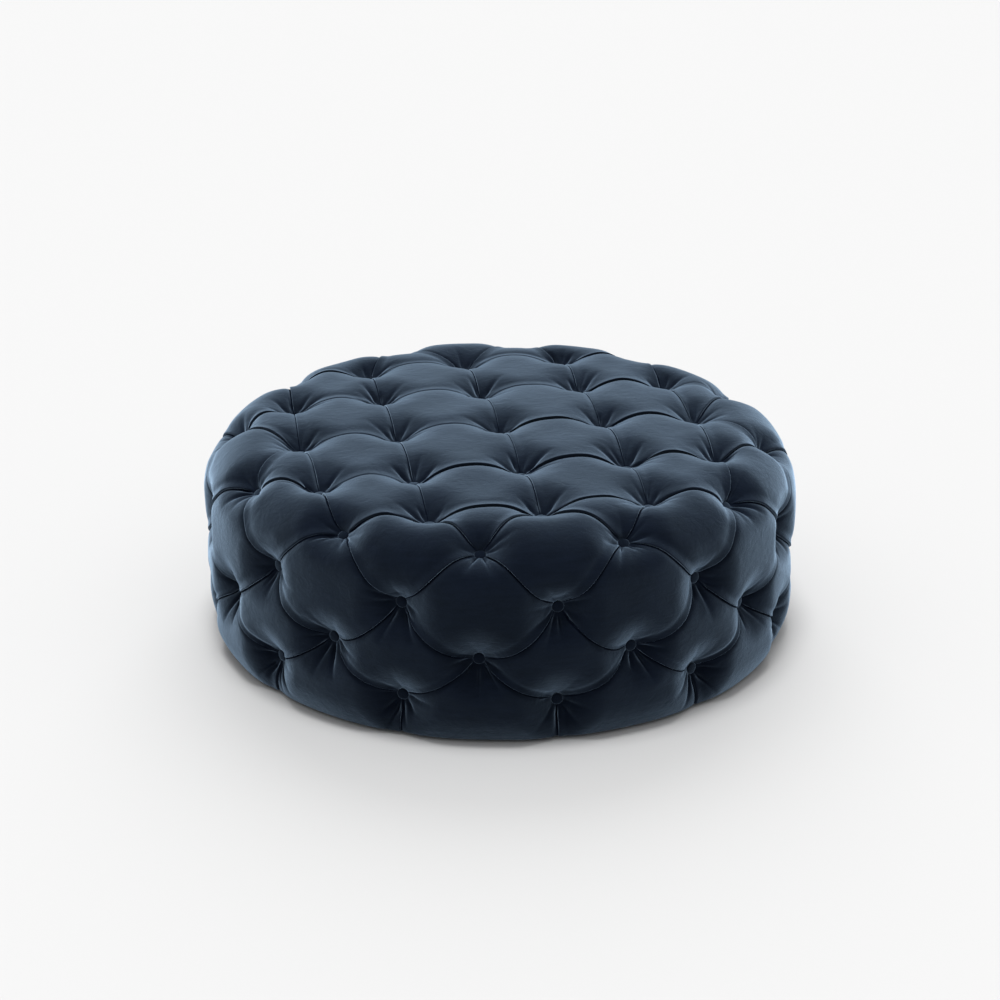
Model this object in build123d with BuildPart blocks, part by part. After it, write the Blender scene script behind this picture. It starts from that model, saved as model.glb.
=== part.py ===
import os
from math import asin, cos, degrees, hypot, radians, sin, sqrt

from build123d import *

os.makedirs("parts", exist_ok=True)

# Outline of the pouf over its tufts, in millimetres, with the floor at Z 0
pouf_radius = 540.0
seat_height = 378.0
seat_dome = 10.0
shoulder_radius = 110.0
hem_height = 8.0
hem_tuck = 20.0
hem_pleat = 6.0

# Layout of the buttons: a 3 x 3 grid, a rim of 12 and four rows of 12
rim_inset = 75.0
rim_bow = 11.0
grid_share = 0.5352
row_1_tilt = 34.0
row_2_drop = 22.0
row_3_sag = 6.0
row_4_rise = 66.0
round_count = 12
round_step = 360 / round_count

# How far the buttons and pleats are drawn in below the crowns of the tufts
seat_button_depth = 58.0
side_button_depth = 60.0
pleat_depth = 16.0
hem_pleat_depth = 40.0

# Covered buttons
button_radius = 10.5
button_shank_radius = 2.5
button_lift = 5.5
button_back = 14.0
button_rim = 1.5
button_dome = 3.5

# Layers of the upholstery
velvet_thickness = 2.0
layer_gap = 0.3
wadding_least = 4.0
side_foam_thickness = 40.0
foam_core_radius = 12.0
hem_width = 70.0

# Timber frame
wall_thickness = 6.0
board_thickness = 18.0
base_ring_width = 177.0
upright_width = 45.0
upright_count = 8
upright_turn = 22.5
rail_width = 45.0
rail_depth = 60.0

# Twine that ties each button to the frame, and the washer it is knotted behind
twine_radius = 1.0
twine_lead = 14.0
twine_bend = 5.0
knot_radius = 3.0
twine_hole_radius = 3.0
row_1_hole_inset = 27.0
row_2_hole_drop = 16.0
washer_radius = 10.0
washer_thickness = 3.0
washer_hole_radius = 1.6

# Screws, pins, staples, dust cover and glides
screw_radius = 2.2
screw_head_radius = 4.5
screw_head_depth = 2.6
screw_tip = 6.0
screw_clearance = 0.05
frame_screw_length = 50.0
frame_screw_offset = 12.0
rail_screw_length = 95.0
rail_screw_shares = (0.28, 0.7)
glide_screw_length = 20.0
pin_radius = 1.0
pin_head_radius = 2.5
pin_head_depth = 1.0
pin_length = 20.0
pin_count = 24
staple_crown = 10.0
staple_wire = 0.8
staple_leg = 9.0
staple_count = 24
dust_cover_thickness = 0.6
dust_cover_lap = 32.0
staple_inset = 11.0
glide_radius = 16.0
glide_edge = 2.0
glide_recess = 2.0
glide_inset = 17.0

# Sizes that follow from those above
core_radius = pouf_radius - shoulder_radius
core_height = seat_height - shoulder_radius
rim_reach = core_radius - rim_inset
grid_pitch = rim_reach * grid_share
row_2_height = core_height - row_2_drop
row_4_height = hem_height + row_4_rise
row_3_height = (row_2_height + row_4_height) / 2 - row_3_sag
deepest_button = max(seat_button_depth, side_button_depth)
foam_swell = shoulder_radius - deepest_button - velvet_thickness - layer_gap - wadding_least
foam_radius = core_radius + foam_swell
wall_outer = foam_radius - side_foam_thickness - layer_gap
wall_inner = wall_outer - wall_thickness
board_radius = wall_inner - layer_gap
base_bottom = hem_height + velvet_thickness
base_top = base_bottom + board_thickness
deck_top = core_height
deck_bottom = deck_top - board_thickness
rail_bottom = deck_bottom - rail_depth
upright_reach = sqrt(board_radius**2 - (upright_width / 2) ** 2) - upright_width / 2
rail_half_length = sqrt(board_radius**2 - (rail_width / 2) ** 2)
base_opening_radius = board_radius - base_ring_width
row_1_hole_reach = board_radius - row_1_hole_inset
glide_reach = board_radius - glide_inset
hem_inner = board_radius - hem_width
row_2_hole_height = row_2_height - row_2_hole_drop
bore_length = 4 * side_foam_thickness
up = Vector(0, 0, 1)


def finish(part, name):
    """Label a piece and write it out."""
    part.label = name
    export_step(part, f"parts/{name}.step")


def polar(reach, turn, height):
    """A point at a reach from the axis, a turn about it in degrees, and a height."""
    return Vector(reach * cos(radians(turn)), reach * sin(radians(turn)), height)


def outward(point):
    """The core point under a point of the outline, and the direction out from it."""
    reach = hypot(point.X, point.Y)
    share = min(1, core_radius / reach) if reach else 1
    core = Vector(point.X * share, point.Y * share, min(point.Z, core_height))
    return core, (point - core).normalized()


def below_crown(point, depth):
    """The place at a depth below the crowned outline, nearest to a point of it."""
    core, way = outward(point)
    dome = seat_dome * (1 - (hypot(core.X, core.Y) / core_radius) ** 2) * way.Z
    return core + way * (shoulder_radius - depth) + up * dome


# Button places on the outline, each with the depth that its button is drawn in
places = {}
for column in (-1, 0, 1):
    for line in (-1, 0, 1):
        grid_place = Vector(column * grid_pitch, line * grid_pitch, seat_height)
        places["seat", column, line] = (grid_place, seat_button_depth)
rim_side = ((rim_reach + rim_bow, 0), (rim_reach, grid_pitch), (grid_pitch, rim_reach))
for step in range(round_count):
    rim_x, rim_y = rim_side[step % 3]
    rim_place = Vector(rim_x, rim_y, seat_height).rotate(Axis.Z, step // 3 * 90)
    places["rim", step] = (rim_place, seat_button_depth)
row_1_reach = core_radius + shoulder_radius * sin(radians(row_1_tilt))
row_1_height = core_height + shoulder_radius * cos(radians(row_1_tilt))
for step in range(round_count):
    on_line = step * round_step
    between = on_line + round_step / 2
    places[1, step] = (polar(row_1_reach, between, row_1_height), side_button_depth)
    places[2, step] = (polar(pouf_radius, on_line, row_2_height), side_button_depth)
    places[3, step] = (polar(pouf_radius, between, row_3_height), side_button_depth)
    places[4, step] = (polar(pouf_radius, on_line, row_4_height), side_button_depth)


def grid_corner(column, line):
    """The button at a crossing of the seat's pleats, which is a rim or row 1 button past the grid."""
    if abs(column) < 2 and abs(line) < 2:
        return "seat", column, line
    turn = Vector(column, line).get_signed_angle(Vector(1, 0), Vector(0, 0, -1)) % 360
    if abs(column) == 2 and abs(line) == 2:
        return 1, int(turn / round_step)
    return "rim", round(turn / round_step) % round_count


def tuft_cells():
    """The corner buttons of each four-sided tuft, in order round it; a triangle repeats its last corner."""
    cells = []
    for column in range(-2, 2):
        for line in range(-2, 2):
            around = ((0, 0), (1, 0), (1, 1), (0, 1))
            cells.append([grid_corner(column + right, line + away) for right, away in around])
    for step in range(round_count):
        after = (step + 1) % round_count
        if step % 3 != 1:
            cells.append([("rim", step), (1, step), ("rim", after), ("rim", after)])
        cells.append([("rim", step), (1, step - 1), (2, step), (1, step)])
        cells.append([(1, step), (2, step), (3, step), (2, after)])
        cells.append([(2, step), (3, step - 1), (4, step), (3, step)])
    return [[corner if corner[0] == "seat" else (corner[0], corner[1] % round_count) for corner in cell]
            for cell in cells]


def through(start, middle, end):
    """The control point of the arc that passes through a middle point."""
    return middle * 2 - (start + end) / 2


def tuft_face(cell, inset):
    """One crowned tuft between four buttons, drawn in along the arc of each pleat."""
    outline = [places[name][0] for name in cell]
    knots = [below_crown(places[name][0], places[name][1] + inset) for name in cell]

    def pleat(first, second):
        if cell[first] == cell[second]:
            return knots[first]
        middle = below_crown((outline[first] + outline[second]) / 2, pleat_depth + inset)
        return through(knots[first], middle, knots[second])

    corners = {name: place for name, place in zip(cell, outline)}
    crown = below_crown(sum(corners.values(), Vector()) / len(corners), inset)
    arcs = [pleat(0, 1), pleat(1, 2), pleat(3, 2), pleat(0, 3)]
    middle = (crown * 16 - sum(knots, Vector()) - sum(arcs, Vector()) * 2) / 4
    return Face.make_bezier_surface([
        [knots[0], arcs[3], knots[3]],
        [arcs[0], middle, arcs[2]],
        [knots[1], arcs[1], knots[2]],
    ])


def hem_points(step, side, inset):
    """The hem's middle, the control point and the pleated end of its arc on one side of a row 3 button."""
    turn = (step + 0.5) * round_step
    middle = polar(pouf_radius - hem_tuck - inset, turn, hem_height + inset)
    end_reach = pouf_radius - hem_tuck - hem_pleat - inset
    end = polar(end_reach, turn + side * round_step / 2, hem_height + inset)
    along = polar(1, turn + side * 90, 0)
    return middle, middle + along * (end - middle).dot(along) / 2, end


def hem_face(step, side, inset):
    """Half of a tuft of the lowest row, from its ridge to the straight pleat under a row 4 button."""
    top_place, top_depth = places[3, step]
    low_place, low_depth = places[4, (step + (side > 0)) % round_count]
    top = below_crown(top_place, top_depth + inset)
    low = below_crown(low_place, low_depth + inset)
    middle, control, end = hem_points(step, side, inset)
    along = (control - middle).normalized()
    ridge = through(top, below_crown((top_place + middle) / 2, inset), middle)
    slant = through(top, below_crown((top_place + low_place) / 2, pleat_depth + inset), low)
    fall = through(low, below_crown((low_place + end) / 2, hem_pleat_depth + inset), end)
    swell = ridge + along * (low - top).dot(along) / 2
    return Face.make_bezier_surface([[top, ridge, middle], [slant, swell, control], [low, fall, end]])


def hem_ring(inset, hole_radius):
    """The flat underside from the hem's scalloped edge in to a round opening."""
    edges = []
    for step in range(round_count):
        for side in (-1, 1):
            edges.append(Edge.make_bezier(*hem_points(step, side, inset)))
    opening = Wire.make_circle(hole_radius, Plane.XY.offset(hem_height + inset))
    return Face(Wire(edges), [opening])


def tufted_faces(inset):
    """The tufted surface at an inset from the velvet's outside, open at its hem."""
    faces = [tuft_face(cell, inset) for cell in tuft_cells()]
    faces += [hem_face(step, side, inset) for step in range(round_count) for side in (-1, 1)]
    return faces


def rounded_slab(swell):
    """A disc that lies on the deck, with a quarter-round rim."""
    with BuildPart() as slab:
        with BuildSketch(Plane.XZ):
            with BuildLine():
                slab_top = core_height + swell
                slab_edge = core_radius + swell
                Polyline((core_radius, slab_top), (0, slab_top), (0, core_height), (slab_edge, core_height))
                CenterArc((core_radius, core_height), swell, 0, 90)
            make_face()
        revolve(axis=Axis.Z)
    return slab.part


# Velvet cover: outer and inner tufted faces joined by the hem turned under the base
with BuildPart() as velvet_hem_edge:
    with BuildSketch(Plane.XY.offset(hem_height)):
        Circle(hem_inner)
    extrude(amount=velvet_thickness)
hem_edge = velvet_hem_edge.faces().filter_by(GeomType.CYLINDER)
velvet_faces = tufted_faces(0) + tufted_faces(velvet_thickness)
velvet_faces += [hem_ring(0, hem_inner), hem_ring(velvet_thickness, hem_inner)] + hem_edge
velvet_shell = Solid(Shell(velvet_faces))

# Fibre wadding: fills the tufts between the velvet and the foam
wadding_inset = velvet_thickness + layer_gap
wadding_hole = foam_radius + layer_gap
with BuildPart() as wadding_hollow:
    with BuildSketch(Plane.XY.offset(hem_height + wadding_inset)):
        Circle(wadding_hole)
    extrude(amount=core_height - hem_height - wadding_inset)
    add(rounded_slab(foam_swell + layer_gap))
hollow_faces = wadding_hollow.faces().sort_by(Axis.Z)[1:]
wadding_faces = tufted_faces(wadding_inset) + [hem_ring(wadding_inset, wadding_hole)] + hollow_faces
wadding_shell = Solid(Shell(wadding_faces))


def wood_screw(length, clearance=0.0):
    """A countersunk screw with its head's face at Z 0, pointing down, or the hole that it leaves."""
    shank = screw_radius + clearance
    head = screw_head_radius + clearance
    with BuildPart() as screw:
        with BuildSketch(Plane.XZ):
            with BuildLine():
                Polyline(
                    (0, 0),
                    (head, 0),
                    (shank, -screw_head_depth),
                    (shank, screw_tip - length),
                    (0, -length),
                    (0, 0),
                )
            make_face()
        revolve(axis=Axis.Z)
    return screw.part


def pointing_up(point):
    """A place whose own Z points down, for a screw driven upwards."""
    return Location(point, (180, 0, 0))


def upright_screws(turn):
    """Where the two screws of an upright stand in plan."""
    middle = polar(upright_reach, turn, 0)
    return [middle + polar(side * frame_screw_offset, turn + 90, 0) for side in (-1, 1)]


upright_turns = [upright_turn + step * 360 / upright_count for step in range(upright_count)]
tall_turns = upright_turns[1::2]
rail_turns = upright_turns[0:4:2]
base_screw_places = []
for turn in upright_turns:
    base_screw_places += [pointing_up(spot + up * base_bottom) for spot in upright_screws(turn)]
deck_screw_places = []
for turn in tall_turns:
    deck_screw_places += [Location(spot + up * deck_top) for spot in upright_screws(turn)]
rail_screw_places = []
for turn in rail_turns:
    for side in (-1, 1):
        rail_screw_places.append(Location(polar(side * upright_reach, turn, deck_bottom)))
        for share in rail_screw_shares:
            reach = side * share * rail_half_length
            deck_screw_places.append(Location(polar(reach, turn, deck_top)))
glide_places = [polar(glide_reach, turn, 0) for turn in upright_turns]
glide_screw_places = [pointing_up(place + up * glide_recess) for place in glide_places]
pin_places = []
for height in (base_bottom + board_thickness / 2, deck_top - board_thickness / 2):
    for step in range(pin_count):
        turn = (step + 0.5) * 360 / pin_count
        pin_plane = Plane(origin=polar(wall_outer, turn, height), z_dir=polar(1, turn, 0))
        pin_places.append(pin_plane.location)

frame_hole = wood_screw(frame_screw_length, screw_clearance)
rail_hole = wood_screw(rail_screw_length, screw_clearance)
glide_hole = wood_screw(glide_screw_length, screw_clearance)


def wall_pin(clearance=0.0):
    """A flat-headed pin with its head's face at Z 0, pointing down, or the hole that it leaves."""
    with BuildPart() as pin:
        with Locations((0, 0, -pin_head_depth / 2)):
            Cylinder(pin_head_radius + clearance, pin_head_depth)
        with Locations((0, 0, -pin_length / 2)):
            Cylinder(pin_radius + clearance, pin_length)
    return pin.part


pin_hole = wall_pin(screw_clearance)

# Where each twine leaves its button, turns into its hole and comes out behind the frame
row_1_knot = below_crown(Vector(row_1_reach, 0, row_1_height), side_button_depth)
row_1_way = Vector(sin(radians(row_1_tilt)), 0, cos(radians(row_1_tilt)))
row_reach = pouf_radius - side_button_depth
deck_back = deck_bottom - washer_thickness - knot_radius
wall_seat = sqrt(wall_inner**2 - washer_radius**2)
wall_back = wall_seat - washer_thickness - knot_radius
row_routes = {
    1: [
        row_1_knot + row_1_way * button_lift,
        row_1_knot - row_1_way * twine_lead,
        Vector(row_1_hole_reach, 0, deck_top),
        Vector(row_1_hole_reach, 0, deck_back),
    ],
    2: [
        Vector(row_reach + button_lift, 0, row_2_height),
        Vector(row_reach - twine_lead, 0, row_2_height),
        Vector(wall_outer, 0, row_2_hole_height),
        Vector(wall_back, 0, row_2_hole_height),
    ],
    3: [Vector(row_reach + button_lift, 0, row_3_height), Vector(wall_back, 0, row_3_height)],
    4: [Vector(row_reach + button_lift, 0, row_4_height), Vector(wall_back, 0, row_4_height)],
}
row_starts = {1: round_step / 2, 2: 0, 3: round_step / 2, 4: 0}
seat_places = [places[name] for name in places if name[0] == "seat"]
rim_places = [places[name] for name in places if name[0] == "rim"]


def seat_back(place):
    """The height that a seat twine is knotted at: the middle one goes on through the rails."""
    behind = deck_bottom if hypot(place.X, place.Y) > rail_width else rail_bottom
    return behind - washer_thickness - knot_radius


def twine(route):
    """A twine along its route, with a knot at its end."""
    with BuildPart() as run:
        with BuildLine() as path:
            if len(route) > 2:
                FilletPolyline(*route, radius=twine_bend)
            else:
                Line(*route)
        with BuildSketch(Plane(origin=path.line @ 0, z_dir=path.line % 0)):
            Circle(twine_radius)
        sweep()
        with Locations(Plane(origin=path.line @ 1, z_dir=path.line % 1)):
            Cylinder(knot_radius, 2 * knot_radius)
    return run.part


# Frame: base ring, deck, uprights and the two half-lapped cross rails
with BuildPart() as base_board:
    with BuildSketch(Plane.XY.offset(base_bottom)):
        Circle(board_radius)
        Circle(base_opening_radius, mode=Mode.SUBTRACT)
    extrude(amount=board_thickness)
    with Locations(*base_screw_places):
        add(frame_hole, mode=Mode.SUBTRACT)
    with Locations(*glide_screw_places):
        add(glide_hole, mode=Mode.SUBTRACT)
    with Locations(*pin_places[:pin_count]):
        add(pin_hole, mode=Mode.SUBTRACT)
finish(base_board.part, "base_board")

with BuildPart() as deck_board:
    with BuildSketch(Plane.XY.offset(deck_bottom)):
        Circle(board_radius)
        with Locations(*[(place.X, place.Y) for place, depth in seat_places + rim_places]):
            Circle(twine_hole_radius, mode=Mode.SUBTRACT)
        with PolarLocations(row_1_hole_reach, round_count, round_step / 2):
            Circle(twine_hole_radius, mode=Mode.SUBTRACT)
    extrude(amount=board_thickness)
    with Locations(*deck_screw_places):
        add(frame_hole, mode=Mode.SUBTRACT)
    with Locations(*pin_places[pin_count:]):
        add(pin_hole, mode=Mode.SUBTRACT)
finish(deck_board.part, "deck_board")

for number, turn in enumerate(upright_turns, 1):
    post_top = deck_bottom if turn in tall_turns else rail_bottom
    with BuildPart() as upright:
        with BuildSketch(Plane.XY.offset(base_top)):
            with Locations(Location(polar(upright_reach, turn, 0), (0, 0, turn))):
                Rectangle(upright_width, upright_width)
        extrude(amount=post_top - base_top)
        with Locations(*[pointing_up(spot + up * base_bottom) for spot in upright_screws(turn)]):
            add(frame_hole, mode=Mode.SUBTRACT)
        if turn in tall_turns:
            with Locations(*[Location(spot + up * deck_top) for spot in upright_screws(turn)]):
                add(frame_hole, mode=Mode.SUBTRACT)
        else:
            with Locations(polar(upright_reach, turn, deck_bottom)):
                add(rail_hole, mode=Mode.SUBTRACT)
    finish(upright.part, f"upright_{number}")

for number, turn in enumerate(rail_turns, 1):
    lap_height = rail_bottom if number == 1 else rail_bottom + rail_depth / 2
    with BuildPart() as cross_rail:
        with BuildSketch(Plane.XY.offset(rail_bottom)):
            Rectangle(2 * rail_half_length, rail_width, rotation=turn)
            Circle(twine_hole_radius, mode=Mode.SUBTRACT)
        extrude(amount=rail_depth)
        with BuildSketch(Plane.XY.offset(lap_height)):
            Rectangle(rail_width, rail_width, rotation=turn)
        extrude(amount=rail_depth / 2, mode=Mode.SUBTRACT)
        with Locations(*deck_screw_places):
            add(frame_hole, mode=Mode.SUBTRACT)
        with Locations(*rail_screw_places):
            add(rail_hole, mode=Mode.SUBTRACT)
    finish(cross_rail.part, f"cross_rail_{number}")

# Side wall: bent fibreboard pinned round the two boards, drilled for the twines of rows 2 to 4
with BuildPart() as side_wall:
    with BuildSketch(Plane.XY.offset(base_bottom)):
        Circle(wall_outer)
        Circle(wall_inner, mode=Mode.SUBTRACT)
    extrude(amount=deck_top - base_bottom)
    wall_holes = []
    for row, hole_height in ((2, row_2_hole_height), (3, row_3_height), (4, row_4_height)):
        for step in range(round_count):
            turn = row_starts[row] + step * round_step
            hole = Plane(origin=polar(wall_inner, turn, hole_height), z_dir=polar(1, turn, 0))
            wall_holes.append(hole.location)
    with Locations(*wall_holes):
        Cylinder(twine_hole_radius, bore_length, mode=Mode.SUBTRACT)
    with Locations(*pin_places):
        add(pin_hole, mode=Mode.SUBTRACT)
finish(side_wall.part, "side_wall")


def foam_cores(row):
    """Where the foam is cored for the twines of a row, along their slant through it."""
    route = row_routes[row]
    start, end = route[1:3] if len(route) > 2 else route
    cores = []
    for step in range(round_count):
        turn = row_starts[row] + step * round_step
        slant = (start - end).rotate(Axis.Z, turn)
        cores.append(Plane(origin=start.rotate(Axis.Z, turn), z_dir=slant).location)
    return cores


# Foam: a rounded slab on the deck and a ring round the wall, each with a cored hole under every button
with BuildPart() as seat_foam:
    add(rounded_slab(foam_swell))
    with Locations(*[(place.X, place.Y, core_height) for place, depth in seat_places + rim_places]):
        Cylinder(foam_core_radius, bore_length, mode=Mode.SUBTRACT)
    with Locations(*foam_cores(1)):
        Cylinder(foam_core_radius, bore_length, mode=Mode.SUBTRACT)
finish(seat_foam.part, "seat_foam")

with BuildPart() as side_foam:
    with BuildSketch(Plane.XY.offset(base_bottom)):
        Circle(foam_radius)
        Circle(wall_outer + layer_gap, mode=Mode.SUBTRACT)
    extrude(amount=core_height - base_bottom)
    with Locations(*foam_cores(2), *foam_cores(3), *foam_cores(4)):
        Cylinder(foam_core_radius, bore_length, mode=Mode.SUBTRACT)
finish(side_foam.part, "side_foam")

with BuildPart() as fibre_wadding:
    add(wadding_shell)
finish(fibre_wadding.part, "fibre_wadding")

with BuildPart() as velvet_cover:
    add(velvet_shell)
    with Locations(*glide_screw_places):
        add(glide_hole, mode=Mode.SUBTRACT)
finish(velvet_cover.part, "velvet_cover")

# Covered buttons: a domed cap over a tapering back, seated in the bottom of each dimple
button_edge = button_back + button_rim
button_top = button_edge + button_dome
dome_radius = (button_radius**2 + button_dome**2) / (2 * button_dome)
dome_angle = degrees(asin(button_radius / dome_radius))
with BuildPart() as button:
    with BuildSketch(Plane.XZ):
        with BuildLine():
            Polyline(
                (0, button_top),
                (0, 0),
                (button_shank_radius, 0),
                (button_radius, button_back),
                (button_radius, button_edge),
            )
            CenterArc((0, button_top - dome_radius), dome_radius, 90 - dome_angle, dome_angle)
        make_face()
    revolve(axis=Axis.Z)


def button_group(row):
    """All the buttons of a row, each square to the outline at its place."""
    seats = []
    for name, (place, depth) in places.items():
        if name[0] == row:
            way = outward(place)[1]
            seat = Plane(origin=below_crown(place, depth) + way * button_lift, z_dir=way)
            seats.append(seat.location)
    with BuildPart() as group:
        with Locations(*seats):
            add(button.part)
    return group.part


finish(button_group("seat"), "seat_buttons")
finish(button_group("rim"), "rim_buttons")
for row in row_routes:
    finish(button_group(row), f"row_{row}_buttons")

# Twines and the washers that they are knotted behind
with BuildPart() as washer:
    with BuildSketch():
        Circle(washer_radius)
        Circle(washer_hole_radius, mode=Mode.SUBTRACT)
    extrude(amount=washer_thickness)

for name, group_places in (("seat", seat_places), ("rim", rim_places)):
    runs = []
    for place, depth in group_places:
        start = below_crown(place, depth) + up * button_lift
        runs.append(twine([start, Vector(place.X, place.Y, seat_back(place))]))
    with BuildPart() as twines:
        add(runs)
    finish(twines.part, f"{name}_twines")
    with BuildPart() as washers:
        for place, depth in group_places:
            with Locations((place.X, place.Y, seat_back(place) + knot_radius)):
                add(washer.part)
    finish(washers.part, f"{name}_washers")

for row, route in row_routes.items():
    row_twine = twine(route)
    leaving = (route[-2] - route[-1]).normalized()
    with BuildPart() as row_washer:
        with Locations(Plane(origin=route[-1] + leaving * knot_radius, z_dir=leaving)):
            add(washer.part)
    with BuildPart() as twines:
        with PolarLocations(0, round_count, row_starts[row]):
            add(row_twine)
    finish(twines.part, f"row_{row}_twines")
    with BuildPart() as washers:
        with PolarLocations(0, round_count, row_starts[row]):
            add(row_washer.part)
    finish(washers.part, f"row_{row}_washers")

# Frame fasteners
screw_groups = {
    "base_screws": (frame_screw_length, base_screw_places),
    "deck_screws": (frame_screw_length, deck_screw_places),
    "rail_screws": (rail_screw_length, rail_screw_places),
    "glide_screws": (glide_screw_length, glide_screw_places),
}
for name, (length, group_places) in screw_groups.items():
    with BuildPart() as screws:
        with Locations(*group_places):
            add(wood_screw(length))
    finish(screws.part, name)

with BuildPart() as wall_pins:
    with Locations(*pin_places):
        add(wall_pin())
finish(wall_pins.part, "wall_pins")

# Dust cover over the opening of the base, lapped on the hem, and the staples of both
dust_cover_radius = hem_inner + dust_cover_lap
with BuildPart() as dust_cover:
    with BuildSketch(Plane.XY.offset(hem_height)):
        Circle(dust_cover_radius)
    extrude(amount=-dust_cover_thickness)
finish(dust_cover.part, "dust_cover")

with BuildPart() as staple:
    with BuildSketch(Plane.XZ):
        Rectangle(staple_crown, staple_wire, align=(Align.CENTER, Align.MAX))
        with Locations((staple_wire / 2 - staple_crown / 2, 0), (staple_crown / 2 - staple_wire / 2, 0)):
            Rectangle(staple_wire, staple_leg, align=(Align.CENTER, Align.MIN))
    extrude(amount=staple_wire / 2, both=True)

staple_groups = {
    "hem_staples": (board_radius - staple_inset, hem_height, 0),
    "dust_staples": (dust_cover_radius - staple_inset, hem_height - dust_cover_thickness, 0.5),
}
for name, (reach, height, offset_share) in staple_groups.items():
    turns = [(step + offset_share) * 360 / staple_count for step in range(staple_count)]
    with BuildPart() as staples:
        with Locations(*[Location(polar(reach, turn, height), (0, 0, turn + 90)) for turn in turns]):
            add(staple.part)
    finish(staples.part, name)

# Glides: rounded plastic feet screwed up through the hem under each upright
for number, place in enumerate(glide_places, 1):
    with BuildPart() as glide:
        with BuildSketch():
            with Locations((place.X, place.Y)):
                Circle(glide_radius)
        extrude(amount=hem_height)
        fillet(glide.edges().group_by(Axis.Z)[0], glide_edge)
        with Locations((place.X, place.Y, 0)):
            Cylinder(screw_head_radius + screw_clearance, 2 * glide_recess, mode=Mode.SUBTRACT)
        with Locations(glide_screw_places[number - 1]):
            add(glide_hole, mode=Mode.SUBTRACT)
    finish(glide.part, f"glide_{number}")
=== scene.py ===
import math

import bmesh
import bpy
import numpy as np
from mathutils import Matrix, Vector, noise


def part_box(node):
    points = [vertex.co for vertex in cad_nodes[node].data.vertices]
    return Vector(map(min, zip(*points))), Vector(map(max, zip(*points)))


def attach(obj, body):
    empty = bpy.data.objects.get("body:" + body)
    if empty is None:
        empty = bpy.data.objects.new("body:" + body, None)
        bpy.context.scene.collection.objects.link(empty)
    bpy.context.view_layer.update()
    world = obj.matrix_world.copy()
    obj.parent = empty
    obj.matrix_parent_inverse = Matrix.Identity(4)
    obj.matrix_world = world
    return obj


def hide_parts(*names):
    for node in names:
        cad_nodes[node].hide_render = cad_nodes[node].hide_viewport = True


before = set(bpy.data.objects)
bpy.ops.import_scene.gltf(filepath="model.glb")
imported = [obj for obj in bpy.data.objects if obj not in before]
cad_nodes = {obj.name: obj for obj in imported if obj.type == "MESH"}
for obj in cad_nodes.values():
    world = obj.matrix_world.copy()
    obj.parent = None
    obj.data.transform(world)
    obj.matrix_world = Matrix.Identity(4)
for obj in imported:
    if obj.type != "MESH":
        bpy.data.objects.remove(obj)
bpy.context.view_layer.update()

# Timber frame: a ring and a deck of birch plywood, sawn from sheet and drilled, held apart
# by eight softwood posts, with two softwood rails half-lapped under the deck.


def new_finish(name, colour, roughness):
    """A material with its Principled shader set to a plain colour and roughness."""
    finish = bpy.data.materials.new(name)
    finish.use_nodes = True
    shader = finish.node_tree.nodes["Principled BSDF"]
    shader.inputs["Base Color"].default_value = (*colour, 1)
    shader.inputs["Roughness"].default_value = roughness
    shader.inputs["Specular IOR Level"].default_value = 0.25
    return finish, shader


def place_node(tree, kind, **values):
    """Adds a node to a tree and sets its unlinked inputs by name."""
    node = tree.nodes.new(kind)
    for name, value in values.items():
        node.inputs[name.replace("_", " ")].default_value = value
    return node


def object_place(tree, scale):
    """Object coordinates, scaled along each axis."""
    coordinates = tree.nodes.new("ShaderNodeTexCoord")
    mapping = place_node(tree, "ShaderNodeMapping", Scale=scale)
    tree.links.new(coordinates.outputs["Object"], mapping.inputs["Vector"])
    return mapping.outputs["Vector"]


def colour_ramp(tree, factor, *stops):
    """Colours laid out along a factor, as pairs of place and colour."""
    ramp = tree.nodes.new("ShaderNodeValToRGB")
    while len(ramp.color_ramp.elements) < len(stops):
        ramp.color_ramp.elements.new(0.5)
    for element, (place, colour) in zip(ramp.color_ramp.elements, stops):
        element.position = place
        element.color = (*colour, 1)
    tree.links.new(factor, ramp.inputs["Fac"])
    return ramp.outputs["Color"]


def raise_surface(tree, shader, height, strength, distance):
    """A bump on the shader's normal from a height."""
    bump = place_node(tree, "ShaderNodeBump", Strength=strength, Distance=distance)
    tree.links.new(height, bump.inputs["Height"])
    tree.links.new(bump.outputs["Normal"], shader.inputs["Normal"])


def new_group(name, inputs, outputs):
    """A shader node group with float or vector inputs and float outputs."""
    group = bpy.data.node_groups.new(name, "ShaderNodeTree")
    for label, kind, value in inputs:
        socket = group.interface.new_socket(label, in_out="INPUT", socket_type=kind)
        if kind == "NodeSocketFloat":
            socket.default_value = value
    for label in outputs:
        group.interface.new_socket(label, in_out="OUTPUT", socket_type="NodeSocketFloat")
    return group, group.nodes.new("NodeGroupInput"), group.nodes.new("NodeGroupOutput")


def wood_grain_group():
    """Growth rings drawn out along the grain, with fine pores between them."""
    inputs = [("Place", "NodeSocketVector", None), ("Rings", "NodeSocketFloat", 14.0)]
    group, start, end = new_group("wood_grain", inputs, ["Ring", "Pore"])
    wave = place_node(group, "ShaderNodeTexWave", Distortion=7.0, Detail=3.0, Detail_Scale=1.4)
    wave.bands_direction = "Y"
    pores = place_node(group, "ShaderNodeTexNoise", Scale=160.0, Detail=3.0)
    group.links.new(start.outputs["Place"], wave.inputs["Vector"])
    group.links.new(start.outputs["Rings"], wave.inputs["Scale"])
    group.links.new(start.outputs["Place"], pores.inputs["Vector"])
    group.links.new(wave.outputs["Fac"], end.inputs["Ring"])
    group.links.new(pores.outputs["Fac"], end.inputs["Pore"])
    return group


wood_grain = wood_grain_group()


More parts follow.
